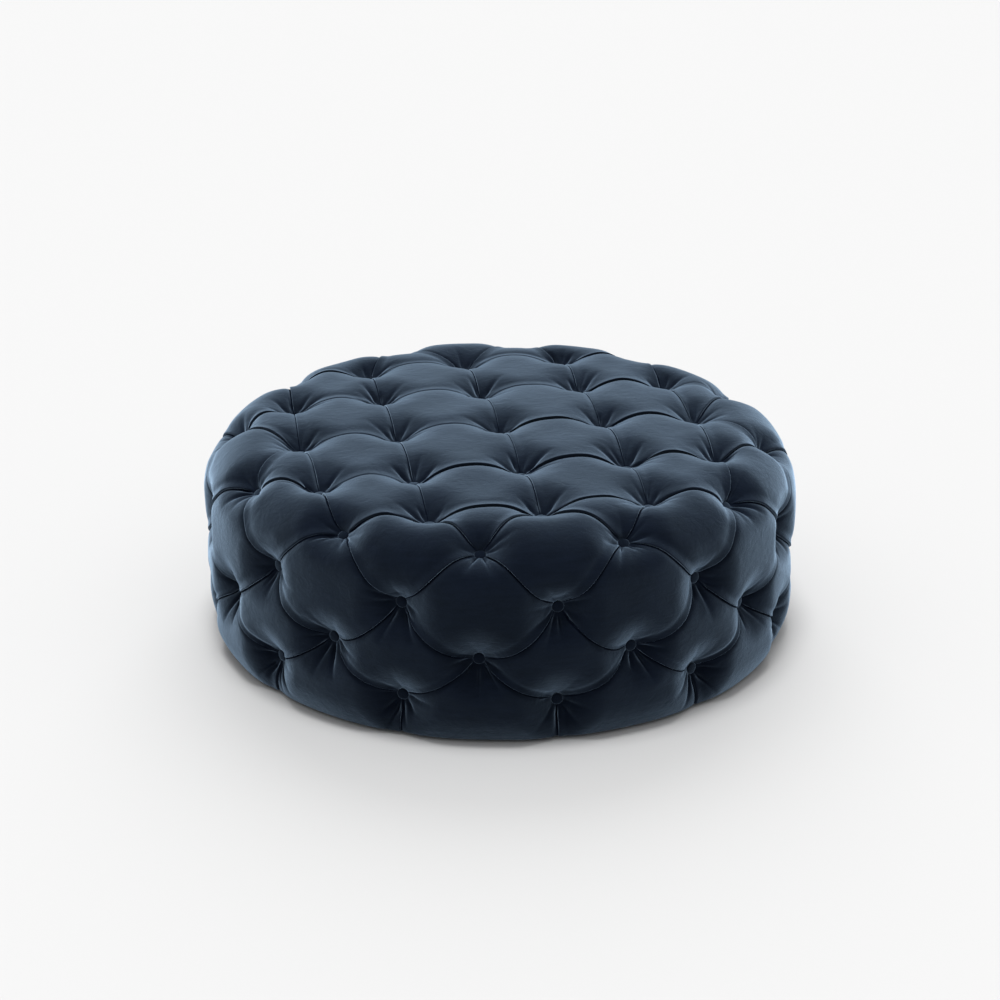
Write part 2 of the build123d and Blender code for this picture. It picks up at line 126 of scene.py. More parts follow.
def timber(name, dark, pale, rings, stretch):
    """Sawn wood whose grain runs along the axis with the smallest stretch."""
    finish, shader = new_finish(name, pale, roughness=0.7)
    tree = finish.node_tree
    grain = tree.nodes.new("ShaderNodeGroup")
    grain.node_tree = wood_grain
    grain.inputs["Rings"].default_value = rings
    tree.links.new(object_place(tree, stretch), grain.inputs["Place"])
    colour = colour_ramp(tree, grain.outputs["Ring"], (0.15, pale), (0.9, dark))
    tree.links.new(colour, shader.inputs["Base Color"])
    raise_surface(tree, shader, grain.outputs["Pore"], strength=0.25, distance=0.0006)
    return finish


def dress(finish, *names):
    """Gives CAD nodes a finish."""
    for name in names:
        cad_nodes[name].data.materials.clear()
        cad_nodes[name].data.materials.append(finish)


birch_plywood = timber(
    "birch_plywood", dark=(0.42, 0.27, 0.14), pale=(0.62, 0.45, 0.27), rings=9.0, stretch=(0.25, 1.6, 6.0)
)
sawn_pine = timber(
    "sawn_pine", dark=(0.46, 0.27, 0.11), pale=(0.68, 0.47, 0.25), rings=22.0, stretch=(1.0, 1.0, 0.12)
)
post_count = 8
posts = [f"upright_{step + 1}" for step in range(post_count)]
dress(birch_plywood, "base_board", "deck_board")
dress(sawn_pine, "cross_rail_1", "cross_rail_2", *posts)

# Side wall: thin hardboard bent round the two boards and pinned to their edges.
# It is pressed from wood fibre, so it is brown and faintly flecked all over.


def fibre_fleck_group():
    """Short fibres lying every way, as in felt, board and cloth that is not woven."""
    inputs = [("Place", "NodeSocketVector", None), ("Fineness", "NodeSocketFloat", 300.0)]
    group, start, end = new_group("fibre_fleck", inputs, ["Fleck", "Cloud"])
    fleck = place_node(group, "ShaderNodeTexNoise", Detail=6.0, Distortion=1.8)
    cloud = place_node(group, "ShaderNodeTexNoise", Scale=9.0, Detail=2.0)
    group.links.new(start.outputs["Place"], fleck.inputs["Vector"])
    group.links.new(start.outputs["Fineness"], fleck.inputs["Scale"])
    group.links.new(start.outputs["Place"], cloud.inputs["Vector"])
    group.links.new(fleck.outputs["Fac"], end.inputs["Fleck"])
    group.links.new(cloud.outputs["Fac"], end.inputs["Cloud"])
    return group


fibre_fleck = fibre_fleck_group()


def flecked(name, dark, pale, fineness, relief, roughness=0.9):
    """A fibrous finish between two colours, with a relief in metres."""
    finish, shader = new_finish(name, pale, roughness)
    tree = finish.node_tree
    fleck = tree.nodes.new("ShaderNodeGroup")
    fleck.node_tree = fibre_fleck
    fleck.inputs["Fineness"].default_value = fineness
    tree.links.new(object_place(tree, (1, 1, 1)), fleck.inputs["Place"])
    colour = colour_ramp(tree, fleck.outputs["Fleck"], (0.3, dark), (0.7, pale))
    tree.links.new(colour, shader.inputs["Base Color"])
    raise_surface(tree, shader, fleck.outputs["Fleck"], strength=0.6, distance=relief)
    return finish


hardboard = flecked(
    "hardboard",
    dark=(0.16, 0.09, 0.045),
    pale=(0.27, 0.165, 0.085),
    fineness=420.0,
    relief=0.0003,
    roughness=0.75,
)
dress(hardboard, "side_wall")

# Screws, pins and staples: zinc-plated steel, driven flush. The washers behind
# the twines are moulded from dark plastic, and the twines are waxed nylon.


def brushed_steel():
    """Bright plated steel, a little uneven in its polish."""
    finish, shader = new_finish("plated_steel", (0.62, 0.63, 0.64), roughness=0.35)
    tree = finish.node_tree
    shader.inputs["Metallic"].default_value = 1.0
    tarnish = place_node(tree, "ShaderNodeTexNoise", Scale=420.0, Detail=3.0)
    tree.links.new(object_place(tree, (1, 1, 1)), tarnish.inputs["Vector"])
    spread = place_node(tree, "ShaderNodeMapRange", To_Min=0.25, To_Max=0.5)
    tree.links.new(tarnish.outputs["Fac"], spread.inputs["Value"])
    tree.links.new(spread.outputs["Result"], shader.inputs["Roughness"])
    return finish


plated_steel = brushed_steel()
waxed_twine = flecked(
    "waxed_twine", dark=(0.45, 0.38, 0.27), pale=(0.68, 0.6, 0.47), fineness=900.0, relief=0.0002
)
moulded_washer = flecked(
    "moulded_washer", dark=(0.1, 0.1, 0.1), pale=(0.19, 0.185, 0.18), fineness=700.0, relief=0.0002
)
button_groups = ("seat", "rim", "row_1", "row_2", "row_3", "row_4")
dress(plated_steel, "base_screws", "deck_screws", "rail_screws", "glide_screws", "wall_pins")
dress(plated_steel, "hem_staples", "dust_staples")
dress(waxed_twine, *[f"{group}_twines" for group in button_groups])
dress(moulded_washer, *[f"{group}_washers" for group in button_groups])

# Foam: a slab on the deck and a sleeve round the wall, cut from cream polyurethane
# and glued on. Each is rounded where the cover is drawn over it.


def select_only(piece):
    """Makes one piece the only selected and active one."""
    bpy.ops.object.select_all(action="DESELECT")
    piece.select_set(True)
    bpy.context.view_layer.objects.active = piece


def finish_piece(piece, material, slot, *nodes):
    """Shades a piece, gives it its finish and body, and has it stand for its CAD nodes."""
    select_only(piece)
    bpy.ops.object.shade_smooth()
    piece.data.materials.append(material)
    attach(piece, "root")
    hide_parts(*nodes)


def turned_piece(name, profile, sides):
    """A closed ring or disc made by spinning a profile of reach and height about the upright axis."""
    mesh = bpy.data.meshes.new(name)
    mesh.from_pydata([(reach, 0, height) for reach, height in profile], [], [])
    piece = bpy.data.objects.new(name, mesh)
    bpy.context.scene.collection.objects.link(piece)
    select_only(piece)
    shape = bmesh.new()
    shape.from_mesh(mesh)
    shape.verts.ensure_lookup_table()
    for index in range(len(profile)):
        shape.edges.new((shape.verts[index - 1], shape.verts[index]))
    shape.to_mesh(mesh)
    shape.free()
    bpy.ops.object.mode_set(mode="EDIT")
    bpy.ops.mesh.select_all(action="SELECT")
    bpy.ops.mesh.spin(steps=sides, angle=math.tau, center=(0, 0, 0), axis=(0, 0, 1))
    bpy.ops.mesh.select_all(action="SELECT")
    bpy.ops.mesh.remove_doubles(threshold=0.00002)
    bpy.ops.mesh.normals_make_consistent(inside=False)
    bpy.ops.object.mode_set(mode="OBJECT")
    return piece


def quarter_turn(centre, radius, start, steps):
    """Points of a quarter circle about a centre of reach and height, from a start angle."""
    reach, height = centre
    angles = [math.radians(start + 90 * step / steps) for step in range(steps + 1)]
    return [(reach + radius * math.cos(turn), height + radius * math.sin(turn)) for turn in angles]


core_radius = 0.430
core_height = 0.268
foam_swell = 0.0437
wall_reach = 0.4337
foam_foot = 0.0102
foam_sides = 96
cream_foam = flecked(
    "cream_foam", dark=(0.62, 0.55, 0.38), pale=(0.8, 0.74, 0.56), fineness=650.0, relief=0.0006
)
slab_top = core_height + foam_swell
slab_half_way_rise = 0.001
slab_middle_rise = 0.0015
slab_profile = [(0.0, core_height), (core_radius + foam_swell, core_height)]
slab_profile += quarter_turn((core_radius, core_height), foam_swell, start=0, steps=8)[1:]
slab_profile += [(core_radius / 2, slab_top + slab_half_way_rise), (0.0, slab_top + slab_middle_rise)]
seat_foam = turned_piece("seat_foam_pad", slab_profile, foam_sides)
finish_piece(seat_foam, cream_foam, "foam", "seat_foam")
sleeve_reach = core_radius + foam_swell
sleeve_bulge = 0.0008
sleeve_round = 0.003
sleeve_gap = 0.0002
sleeve_profile = [
    (wall_reach, foam_foot),
    (sleeve_reach - sleeve_round, foam_foot),
    (sleeve_reach, foam_foot + sleeve_round),
    (sleeve_reach + sleeve_bulge, core_height / 2),
    (sleeve_reach, core_height - sleeve_round),
    (sleeve_reach - sleeve_round, core_height - sleeve_gap),
    (wall_reach, core_height - sleeve_gap),
]
side_foam = turned_piece("side_foam_pad", sleeve_profile, foam_sides)
finish_piece(side_foam, cream_foam, "foam", "side_foam")

# Velvet cover: one cut of dark blue velvet drawn in by 69 buttons over fibre wadding,
# with its spare cloth folded into pleats between them and its hem turned under the base.
shoulder = 0.110
seat_dome = 0.010
pouf_radius = 0.540
seat_height = 0.378
hem_height = 0.008
hem_tuck = 0.020
hem_inner = 0.357
tuck_height = 0.070
tuck_run = 0.062
rounds = 12
round_step = 30
half_step = 15


def polar(reach, turn, height):
    """A point at a reach from the axis, a turn about it in degrees, and a height."""
    return np.array([reach * math.cos(math.radians(turn)), reach * math.sin(math.radians(turn)), height])


def crown(points, depth):
    """Points of the outline over the tufts, at a depth below it, and the way out at each."""
    reach = np.hypot(points[..., 0], points[..., 1])
    share = np.minimum(1.0, core_radius / np.maximum(reach, 1e-9))
    height = np.minimum(points[..., 2], core_height)
    core = np.stack([points[..., 0] * share, points[..., 1] * share, height], axis=-1)
    way = points - core
    way = way / np.linalg.norm(way, axis=-1, keepdims=True)
    dome = seat_dome * (1 - (np.hypot(core[..., 0], core[..., 1]) / core_radius) ** 2) * way[..., 2]
    tuck = hem_tuck * np.clip((tuck_height - points[..., 2]) / tuck_run, 0, 1) ** 2
    placed = core + way * (shoulder - depth - tuck)[..., None]
    placed[..., 2] += dome
    return placed, way


grid_pitch = 0.190
rim_middle_reach = 0.366
rim_side_reach = 0.355
rim_side = ((rim_middle_reach, 0), (rim_side_reach, grid_pitch), (grid_pitch, rim_side_reach))
buttons = {}
for column in (-1, 0, 1):
    for line in (-1, 0, 1):
        buttons["seat", column, line] = np.array([column * grid_pitch, line * grid_pitch, seat_height])
for step in range(rounds):
    across, away = rim_side[step % 3]
    quarter = Matrix.Rotation(math.radians(90 * (step // 3)), 3, "Z")
    buttons["rim", step] = np.array(quarter @ Vector((across, away, seat_height)))
row_1_tilt = math.radians(34)
row_1_reach = core_radius + shoulder * math.sin(row_1_tilt)
row_1_height = core_height + shoulder * math.cos(row_1_tilt)
row_2_height = 0.246
row_3_height = 0.154
row_4_height = 0.074
for step in range(rounds):
    on_line = round_step * step
    between = on_line + half_step
    buttons["row_1", step] = polar(row_1_reach, between, row_1_height)
    buttons["row_2", step] = polar(pouf_radius, on_line, row_2_height)
    buttons["row_3", step] = polar(pouf_radius, between, row_3_height)
    buttons["row_4", step] = polar(pouf_radius, on_line, row_4_height)
    buttons["hem_end", step] = polar(pouf_radius, on_line, hem_height)
    buttons["hem_middle", step] = polar(pouf_radius, between, hem_height)


def seat_corner(column, line):
    """The button at a crossing of the seat's pleats, which is a rim or row 1 button past the grid."""
    if abs(column) < 2 and abs(line) < 2:
        return "seat", column, line
    turn = math.degrees(math.atan2(line, column)) % 360
    if abs(column) == 2 and abs(line) == 2:
        return "row_1", int(turn / round_step)
    return "rim", round(turn / round_step) % rounds


cells = []
for column in range(-2, 2):
    for line in range(-2, 2):
        around = ((0, 0), (1, 0), (1, 1), (0, 1))
        cells.append([seat_corner(column + right, line + back) for right, back in around])
for step in range(rounds):
    after = (step + 1) % rounds
    before = (step - 1) % rounds
    if step % 3 != 1:
        cells.append([("rim", step), ("row_1", step), ("rim", after), ("rim", after)])
    cells.append([("rim", step), ("row_1", before), ("row_2", step), ("row_1", step)])
    cells.append([("row_1", step), ("row_2", step), ("row_3", step), ("row_2", after)])
    cells.append([("row_2", step), ("row_3", before), ("row_4", step), ("row_3", step)])
    cells.append([("row_3", step), ("row_4", step), ("hem_end", step), ("hem_middle", step)])
    cells.append([("row_3", step), ("row_4", after), ("hem_end", after), ("hem_middle", step)])

# Which tuft laps over which at each pleat: the upper one at the sides, the far or right one on the seat
lap_order = np.array([0.2, 1.0, 3.0])
pleat_tufts = {}
for index, cell in enumerate(cells):
    middle = sum(buttons[name] for name in cell) / 4
    for corner in range(4):
        pair = tuple(sorted((cell[corner], cell[(corner + 1) % 4]), key=str))
        pleat_tufts.setdefault(pair, []).append((float(middle @ lap_order), index))
for pair in pleat_tufts:
    pleat_tufts[pair].sort()

draw = np.random.default_rng(8)
pleat_character = {pair: draw.uniform(0.0, 1.0, 3) for pair in sorted(pleat_tufts, key=str)}
pleat_sags = {("row_1", "row_2"): -0.003, ("row_2", "row_3"): -0.019, ("row_3", "row_4"): -0.009}
pleat_drift = 0.006


def pleat_bow(pair):
    """How far the middle of a pleat hangs from the straight line between its buttons."""
    rows = {pair[0][0], pair[1][0]}
    sag = pleat_sags.get(tuple(sorted(rows)), 0.0)
    drift = (pleat_character[pair][0] - 0.5) * pleat_drift
    if rows <= {"seat", "rim"}:
        run = buttons[pair[1]] - buttons[pair[0]]
        side = np.array([-run[1], run[0], 0.0])
        return side / np.linalg.norm(side) * drift
    return np.array([0.0, 0.0, sag + drift])


def smooth_step(value, low, high):
    """A smooth rise from 0 to 1 between two values."""
    share = np.clip((value - low) / (high - low), 0, 1)
    return share * share * (3 - 2 * share)


# A pleat's folded edge as its lap, lift, depth and sharpness, at the side and where pleats run
# across the seat or to its back. Those across it are crisper towards the front right.
side_lip = (0.0045, 0.0006, 0.0030, 0.5)
seat_across_lip = (0.007, 0.0009, 0.0034, 0.85)
seat_back_lip = (0.0026, 0.0, 0.0022, 0.2)
least_vigour, more_vigour = 0.65, 0.5
least_crisp, crisp_run = 0.15, 0.07


def pleat_lip(pair):
    """The folded edge of the upper tuft: how far it laps, its lift, its depth and its sharpness."""
    rows = {pair[0][0], pair[1][0]}
    vigour = least_vigour + more_vigour * pleat_character[pair][1]
    lip, lift, gap, flap = side_lip
    if rows <= {"seat", "rim"}:
        run = np.abs(buttons[pair[1]] - buttons[pair[0]])
        middle = (buttons[pair[0]] + buttons[pair[1]]) / 2
        front_right = float(smooth_step(middle[0] - middle[1], -crisp_run, crisp_run))
        crisp = least_crisp + (1 - least_crisp) * front_right
        if run[0] > run[1]:
            lip, lift, gap, flap = [measure * crisp for measure in seat_across_lip]
        else:
            lip, lift, gap, flap = seat_back_lip
    return lip * vigour, lift * vigour, gap * vigour, flap


def edge_spacing(count, crowding=0.7):
    """Places from 0 to 1 that crowd towards both ends, where the pleats are."""
    share = np.linspace(0, 1, count)
    return share - crowding * np.sin(math.tau * share) / math.tau


button_list = [name for name in buttons if not name[0].startswith("hem")]
button_spots = np.array([crown(buttons[name], np.array(0.0))[0] for name in button_list])
button_ways = np.array([crown(buttons[name], np.array(0.0))[1] for name in button_list])
side_hollow, side_hollow_reach, side_hollow_curve, side_hole = 0.0470, 0.080, 1.9, 0.013
seat_hollow, seat_hollow_reach, seat_hollow_curve, seat_hole = 0.0430, 0.095, 2.4, 0.012
hole_reach = 0.011


def dimple(reach, seat_share):
    """Depth of the hollow that a button draws in the filling, steeper the nearer to the button."""
    side = side_hollow * np.clip(1 - reach / side_hollow_reach, 0, 1) ** side_hollow_curve
    seat = seat_hollow * np.clip(1 - reach / seat_hollow_reach, 0, 1) ** seat_hollow_curve
    hole = np.clip(1 - reach / hole_reach, 0, 1)
    return (side + side_hole * hole) * (1 - seat_share) + (seat + seat_hole * hole) * seat_share


# Creases fan out from each button, deeper below a side button and behind a seat button
crease_counts = (8, 12)
crease_drift = 0.34
crease_depths = (0.0018, 0.0080)
crease_lengths = (0.038, 0.085)
crease_vigour = 1.05
side_lean = 0.6
seat_lean = -0.5
crease_sets = []
for way in button_ways:
    count = draw.integers(*crease_counts)
    turns = (np.arange(count) + draw.uniform(-crease_drift, crease_drift, count)) * math.tau / count
    lean = side_lean if way[2] < 0.9 else seat_lean
    strengths = draw.uniform(*crease_depths, count) * (crease_vigour + lean * np.sin(turns))
    crease_sets.append((turns, strengths, draw.uniform(*crease_lengths, count)))
crease_clearing = 0.004
crease_start, crease_full = 0.009, 0.024
crease_width, crease_spread, crease_curve = 0.0014, 0.07, 1.4


def gathered_creases(points, seat_share):
    """How far the cloth is drawn in along the small creases that fan out from every button."""
    move = np.zeros(points.shape)
    for spot, way, (turns, strengths, lengths) in zip(button_spots, button_ways, crease_sets):
        away = points - spot
        reach = np.linalg.norm(away, axis=-1)
        near = (reach < crease_lengths[1]) & (reach > crease_clearing)
        if not near.any():
            continue
        side = np.cross(way, (0.0, 0.0, 1.0) if abs(way[2]) < 0.95 else (0.0, 1.0, 0.0))
        side /= np.linalg.norm(side)
        front = np.cross(way, side)
        turn = np.arctan2(away[near] @ front, away[near] @ side)
        distance = reach[near]
        total = np.zeros(distance.shape)
        for angle, strength, length in zip(turns, strengths, lengths):
            off = (turn - angle + math.pi) % math.tau - math.pi
            width = crease_width + crease_spread * distance
            across = np.exp(-np.abs(off * distance / width) ** crease_curve)
            along = smooth_step(distance, crease_start, crease_full) * np.clip(1 - distance / length, 0, 1)
            total += strength * across * along
        step = 0.0005
        slope = dimple(distance + step, seat_share[near]) - dimple(distance - step, seat_share[near])
        wall = way + (slope / (2 * step) / distance)[:, None] * away[near]
        wall /= np.linalg.norm(wall, axis=-1, keepdims=True)
        move[near] -= total[:, None] * wall
    return move


ripple_count = 10
ripple_height = 0.0042
ripple_fineness = (14, 60)
ripple_ways = draw.normal(0.0, 1.0, (ripple_count, 3))
ripple_rates = draw.uniform(*ripple_fineness, ripple_count)
ripple_ways *= (ripple_rates / np.linalg.norm(ripple_ways, axis=1))[:, None]
ripple_starts = draw.uniform(0, math.tau, ripple_count)


def hand_ripple(points):
    """The slow unevenness of filling pushed in by hand, in metres."""
    waves = np.sin(points @ ripple_ways.T + ripple_starts)
    return waves.mean(axis=-1) * ripple_height


# How a tuft rolls down into a pleat, as distances from the pleat's line and depths
hollow_limit = 0.0635
side_roll_depth, seat_roll_less = 0.0040, 0.0008
upper_roll, lower_roll, lower_curve = 0.042, 0.045, 2.2
body_start, flap_roll = 0.004, 0.005
upper_groove, lower_groove = 0.0016, 0.0075
# The strip of painted shade along each fold: its edge on both tufts, and how it widens below a lip
fold_shade_edge, shade_rise, most_shade = 0.0010, 1.6, 1.15
lap_peak, lap_curve = 0.006, 1.5
valley_place, valley_width = 0.016, 0.006
side_valley, seat_valley_less = 0.0025, 0.0013
lift_place, lift_width, lift_start = 0.005, 0.004, 0.003

# Where a pleat eases off: near a button, where it meets another pleat, and at the hem
roll_start, roll_full = 0.010, 0.060
ease_start, ease_full = 0.007, 0.030
crossing_ease = 0.016
hem_ease, hem_ease_height = 0.35, 0.05

# How much the cloth faces up where the seat begins, and where it is all seat
seat_begins, seat_full = 0.75, 0.98


def quilt_cell(index, count, inset, detailed):
    """A grid of points over one tuft, drawn in at buttons and pleats, and which of them lie in a fold's
    strip of painted shade.
    """
    cell = cells[index]
    corners = [buttons[name] for name in cell]
    pairs = [tuple(sorted((cell[k], cell[(k + 1) % 4]), key=str)) for k in range(4)]
    pleated = [pair[0] != pair[1] and "hem_middle" not in (pair[0][0], pair[1][0]) for pair in pairs]
    share = edge_spacing(count)
    u, v = np.meshgrid(share, share, indexing="ij")
    u3, v3 = u[..., None], v[..., None]
    flat = (1 - u3) * (1 - v3) * corners[0] + u3 * (1 - v3) * corners[1]
    flat = flat + u3 * v3 * corners[2] + (1 - u3) * v3 * corners[3]
    runs = [u, v, u, v]
    sides = [1 - v3, u3, v3, 1 - u3]
    for k in range(4):
        if pleated[k]:
            flat = flat + sides[k] * (4 * runs[k] * (1 - runs[k]))[..., None] * pleat_bow(pairs[k])
    top, way = crown(flat, np.zeros(u.shape))
    step_u = np.linalg.norm(np.diff(top, axis=0), axis=-1)
    step_v = np.linalg.norm(np.diff(top, axis=1), axis=-1)
    along_u = np.concatenate([np.zeros((1, count)), np.cumsum(step_u, axis=0)], axis=0)
    along_v = np.concatenate([np.zeros((count, 1)), np.cumsum(step_v, axis=1)], axis=1)
    distances = [along_v, along_u[-1:] - along_u, along_v[:, -1:] - along_v, along_u]
    reaches = np.linalg.norm(top[None] - button_spots[:, None, None], axis=-1)
    nearest = reaches.min(axis=0)
    seat_share = smooth_step(way[..., 2], seat_begins, seat_full)
    depth = dimple(reaches, seat_share).sum(axis=0)
    roll_ease = smooth_step(nearest, roll_start, roll_full)
    roll_depth = (side_roll_depth - seat_roll_less * seat_share) * roll_ease
    left = np.ones(u.shape)
    lap = np.zeros(top.shape)
    fold_shade_mask = np.zeros(u.shape, dtype=bool)
    for k, (pair, distance) in enumerate(zip(pairs, distances)):
        if not pleated[k]:
            continue
        over = pleat_tufts[pair][-1][1] == index
        lip, lift, gap, flap = pleat_lip(pair)
        if over:
            body = smooth_step(distance, body_start + body_start * flap, upper_roll)
            left = left * (flap * smooth_step(distance, 0, flap_roll) + (1 - flap) * body)
        else:
            left = left * (1 - np.clip(1 - distance / lower_roll, 0, 1) ** lower_curve)
        if not detailed:
            continue
        hem_rise = smooth_step(flat[..., 2], hem_height, hem_ease_height)
        above_hem = hem_ease + (1 - hem_ease) * hem_rise
        ease = smooth_step(nearest, ease_start, ease_full) * above_hem
        for other in range(4):
            if other != k and pleated[other]:
                ease = ease * smooth_step(distances[other], 0.0, crossing_ease)
        # Painted shade: faces near the fold's line get the dull, near black velvet, a wider strip on the
        # lower tuft
        shade = lip * min(most_shade, shade_rise * flap)
        fold_shade_mask |= distance < (fold_shade_edge if over else fold_shade_edge + shade * ease)
        reach_in = upper_groove if over else lower_groove
        depth = depth + gap * ease * np.exp(-(distance / reach_in) ** 2)
        if over:
            towards = -np.gradient(top, axis=(1, 0, 1, 0)[k]) * (1, -1, -1, 1)[k]
            towards /= np.maximum(np.linalg.norm(towards, axis=-1, keepdims=True), 1e-9)
            lap_share = distance / lap_peak
            roll = lap_share ** lap_curve * np.exp(lap_curve * (1 - lap_share))
            lap += towards * (lip * ease * roll)[..., None]
            valley = (side_valley - seat_valley_less * seat_share) * pleat_character[pair][2]
            depth = depth + valley * ease * np.exp(-((distance - valley_place) / valley_width) ** 2)
            rise = np.exp(-((distance - lift_place) / lift_width) ** 2)
            rise = rise * smooth_step(distance, 0, lift_start)
            depth = depth - lift * ease * rise
    depth = depth + roll_depth * (1 - left)
    if detailed:
        depth = depth + hand_ripple(top)
        lap += gathered_creases(top, seat_share)
    else:
        depth = np.minimum(depth, hollow_limit - inset)
    placed, way = crown(flat, depth + inset)
    return placed + lap, fold_shade_mask


def join_sides(grid, cell, shared):
    """Gives a tuft the sides that its neighbours already have, so that tufts meet exactly."""
    sides = ((grid[:, 0], 0, 1), (grid[-1], 1, 2), (grid[:, -1], 3, 2), (grid[0], 0, 3))
    for side, first, last in sides:
        run = cell[first], cell[last]
        if run[::-1] in shared:
            side[:] = shared[run[::-1]][::-1]
        elif run in shared:
            side[:] = shared[run]
        else:
            shared[run] = side.copy()


def quilt(count, inset, detailed, foot, tail):
    """All tufts as points, faces, painted fold shade and hem ends, with the hem carried on through a tail.
    """
    points, faces, fold_shade_masks, ends = [], [], [], []
    shared = {}
    start = 0
    for index, cell in enumerate(cells):
        grid, fold_shade_mask = quilt_cell(index, count, inset, detailed)
        grid[..., 2] = np.maximum(grid[..., 2], foot)
        join_sides(grid, cell, shared)
        if cell[2][0] == "hem_end":
            first, last = buttons[cell[2]], buttons[cell[3]]
            start_turn = math.atan2(first[1], first[0])
            sweep = (math.atan2(last[1], last[0]) - start_turn + math.pi) % math.tau - math.pi
            turn = start_turn + sweep * (1 - edge_spacing(count))
            for reach, height in tail:
                level = np.full(count, height)
                turned = np.stack([np.cos(turn) * reach, np.sin(turn) * reach, level], axis=-1)
                grid = np.concatenate([grid, turned[:, None]], axis=1)
                fold_shade_mask = np.concatenate([fold_shade_mask, np.zeros((count, 1), dtype=bool)], axis=1)
        rows, lines = grid.shape[:2]
        number = np.arange(rows * lines).reshape(rows, lines) + start
        quads = np.stack([number[:-1, :-1], number[1:, :-1], number[1:, 1:], number[:-1, 1:]], axis=-1)
        points.append(grid.reshape(-1, 3))
        faces += quads.reshape(-1, 4).tolist()
        fold_shade_masks.append((fold_shade_mask[:-1, :-1] & fold_shade_mask[1:, :-1] & fold_shade_mask[1:, 1:] & fold_shade_mask[:-1, 1:]).reshape(-1))
        if cell[2][0] == "hem_end":
            ends.append(number[:, -1].tolist())
        start += rows * lines
    return {"points": np.concatenate(points), "faces": faces, "fold_shade_masks": np.concatenate(fold_shade_masks), "ends": ends}


def seam_faces(one, other):
    """Triangles that join two runs of points whose spacing differs."""
    one_share, other_share = edge_spacing(len(one)), edge_spacing(len(other))
    faces = []
    first = second = 0
    while first < len(one) - 1 or second < len(other) - 1:
        one_left = first < len(one) - 1
        other_left = second < len(other) - 1
        if one_left and (not other_left or one_share[first + 1] <= other_share[second + 1]):
            faces.append([one[first], one[first + 1], other[second]])
            first += 1
        else:
            faces.append([one[first], other[second + 1], other[second]])
            second += 1
    return faces


def closed_shell(name, points, faces, fold_shade_masks):
    """One closed shell of points and faces, welded where tufts meet, with the faces in its folds given a
    second finish that paints shade there.
    """
    weld_distance = 0.00005
    mesh = bpy.data.meshes.new(name)
    mesh.from_pydata(points.tolist(), [], faces)
    finishes = np.zeros(len(faces), dtype=np.int32)
    finishes[:len(fold_shade_masks)] = fold_shade_masks
    mesh.polygons.foreach_set("material_index", finishes)
    shape = bmesh.new()
    shape.from_mesh(mesh)
    bmesh.ops.remove_doubles(shape, verts=shape.verts, dist=weld_distance)
    bmesh.ops.recalc_face_normals(shape, faces=shape.faces)
    shape.to_mesh(mesh)
    shape.free()
    piece = bpy.data.objects.new(name, mesh)
    bpy.context.scene.collection.objects.link(piece)
    return piece


def velvet_pile_group():
    """Pile brushed this way and that: broad shading, streaks across it and a fine nap."""
    inputs = [("Place", "NodeSocketVector", None)]
    group, start, end = new_group("velvet_pile", inputs, ["Shade", "Nap"])
    broad = place_node(group, "ShaderNodeTexNoise", Scale=11.0, Detail=3.0, Roughness=0.6)
    stretch = place_node(group, "ShaderNodeMapping", Scale=(18.0, 70.0, 130.0))
    streak = place_node(group, "ShaderNodeTexNoise", Scale=1.0, Detail=4.0, Roughness=0.65)
    nap = place_node(group, "ShaderNodeTexNoise", Scale=1400.0, Detail=2.0)
    blend = group.nodes.new("ShaderNodeMath")
    blend.operation = "ADD"
    group.links.new(start.outputs["Place"], broad.inputs["Vector"])
    group.links.new(start.outputs["Place"], stretch.inputs["Vector"])
    group.links.new(stretch.outputs["Vector"], streak.inputs["Vector"])
    group.links.new(start.outputs["Place"], nap.inputs["Vector"])
    group.links.new(broad.outputs["Fac"], blend.inputs[0])
    group.links.new(streak.outputs["Fac"], blend.inputs[1])
    half = group.nodes.new("ShaderNodeMath")
    half.operation = "MULTIPLY"
    half.inputs[1].default_value = 0.5
    group.links.new(blend.outputs["Value"], half.inputs[0])
    group.links.new(half.outputs["Value"], end.inputs["Shade"])
    patch = place_node(
        group, "ShaderNodeTexNoise", Scale=48.0, Detail=4.0, Roughness=0.6, Distortion=0.6
    )
    group.links.new(start.outputs["Place"], patch.inputs["Vector"])
    height = nap.outputs["Fac"]
    for layer, share in ((streak, 2.5), (patch, 5.5)):
        brush = group.nodes.new("ShaderNodeMath")
        brush.operation = "MULTIPLY_ADD"
        brush.inputs[1].default_value = share
        group.links.new(layer.outputs["Fac"], brush.inputs[0])
        group.links.new(height, brush.inputs[2])
        height = brush.outputs["Value"]
    group.links.new(height, end.inputs["Nap"])
    return group


velvet_pile = velvet_pile_group()


def blue_velvet(name, sheen):
    """Dark blue velvet, near black face on and slate blue where the pile is seen edge on."""
    finish, shader = new_finish(name, (0.009, 0.014, 0.026), roughness=0.85)
    tree = finish.node_tree
    shader.inputs["Specular IOR Level"].default_value = 0.0
    shader.inputs["Sheen Weight"].default_value = sheen
    shader.inputs["Sheen Roughness"].default_value = 0.425
    shader.inputs["Sheen Tint"].default_value = (0.54, 0.75, 1.0, 1)
    pile = tree.nodes.new("ShaderNodeGroup")
    pile.node_tree = velvet_pile
    tree.links.new(object_place(tree, (1, 1, 1)), pile.inputs["Place"])
    stops = ((0.3, (0.0010, 0.0020, 0.0052)), (0.7, (0.0040, 0.0065, 0.0145)))
    tree.links.new(colour_ramp(tree, pile.outputs["Shade"], *stops), shader.inputs["Base Color"])
    raise_surface(tree, shader, pile.outputs["Nap"], strength=0.35, distance=0.0005)
    return finish


